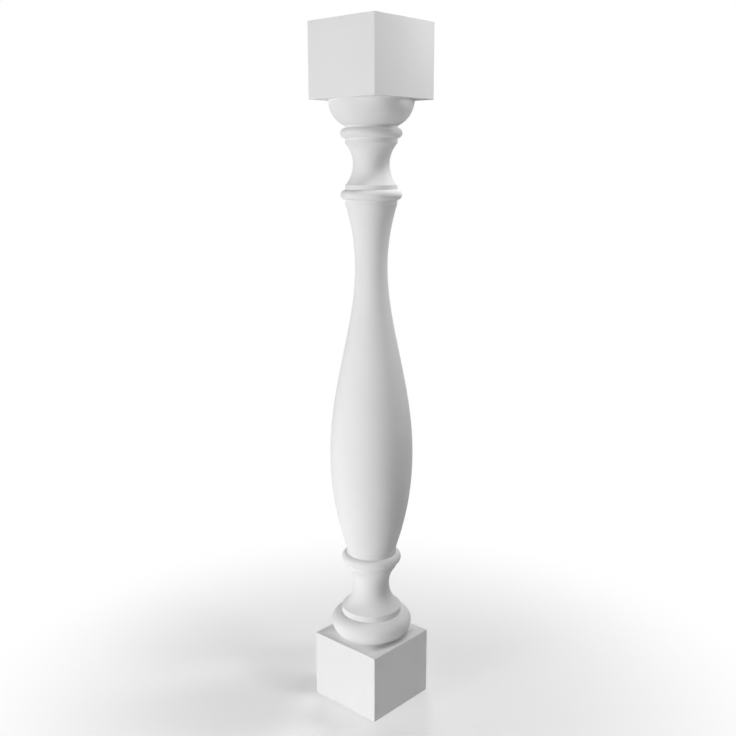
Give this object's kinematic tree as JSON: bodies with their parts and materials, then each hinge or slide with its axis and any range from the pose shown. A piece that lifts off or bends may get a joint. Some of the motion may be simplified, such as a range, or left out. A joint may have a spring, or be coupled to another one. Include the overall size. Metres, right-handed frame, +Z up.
{
  "type": "baluster",
  "caption": "Slender turned baluster with a long vase-shaped shaft, torus, hollow and bead mouldings, and a plain square block at either end, moulded as one white piece.",
  "frame": {"origin": "centre of the underside of the lower block, where the baluster stands", "axes": "+Z up along the turning axis; X and Y square to the faces of both blocks"},
  "size_m": [0.11, 0.11, 0.9],
  "materials": {
    "white_paint": "plain white matt coating on moulded rigid foam"
  },
  "bodies": {
    "root": {"baluster": "white_paint"}
  },
  "joints": []
}
